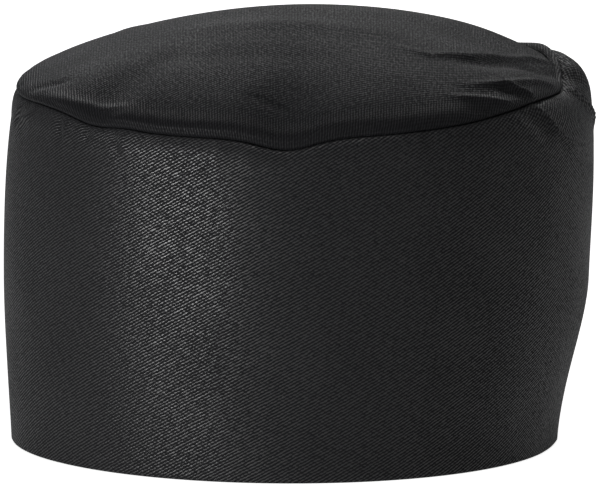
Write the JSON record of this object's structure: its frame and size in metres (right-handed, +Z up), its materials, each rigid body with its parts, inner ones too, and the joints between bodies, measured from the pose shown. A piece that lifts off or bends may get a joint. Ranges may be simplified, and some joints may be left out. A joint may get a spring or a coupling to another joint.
{
  "type": "chef skull cap",
  "caption": "Soft low chef's cap: round domed twill crown sewn to a tall folded band, drawn in by elastic at the back.",
  "frame": {"origin": "under the middle of the cap's box, on the surface that its folded bottom edge stands on", "axes": "+Z up through the crown, -Y towards the front, +Y towards the elasticated back, +X to the wearer's left"},
  "size_m": [0.1884, 0.1894, 0.1378],
  "materials": {
    "twill": "black polyester and cotton twill, soft sheen",
    "interfacing": "grey non-woven interfacing, matte",
    "elastic": "black woven elastic",
    "thread": "black spun polyester sewing thread",
    "label": "white woven satin ribbon, blank"
  },
  "bodies": {
    "cap": {"crown_panel": "twill", "side_band": "twill", "band_interfacing": "interfacing", "back_elastic": "elastic", "crown_seam_thread": "thread", "crown_seam_overlock": "thread", "centre_back_seam_thread": "thread", "casing_needle_thread_lower": "thread", "casing_needle_thread_upper": "thread", "casing_bobbin_thread_lower": "thread", "casing_bobbin_thread_upper": "thread", "elastic_tack_right": "thread", "elastic_tack_left": "thread"},
    "label_flap": {"care_label": "label", "size_tab": "label"}
  },
  "joints": [
    {"name": "label_flap_hinge", "type": "hinge", "parent": "cap", "child": "label_flap", "pos_m": [0, 0.07767, 0.1089], "axis": [-1, 0, 0], "range_deg": [-15, 110]}
  ]
}
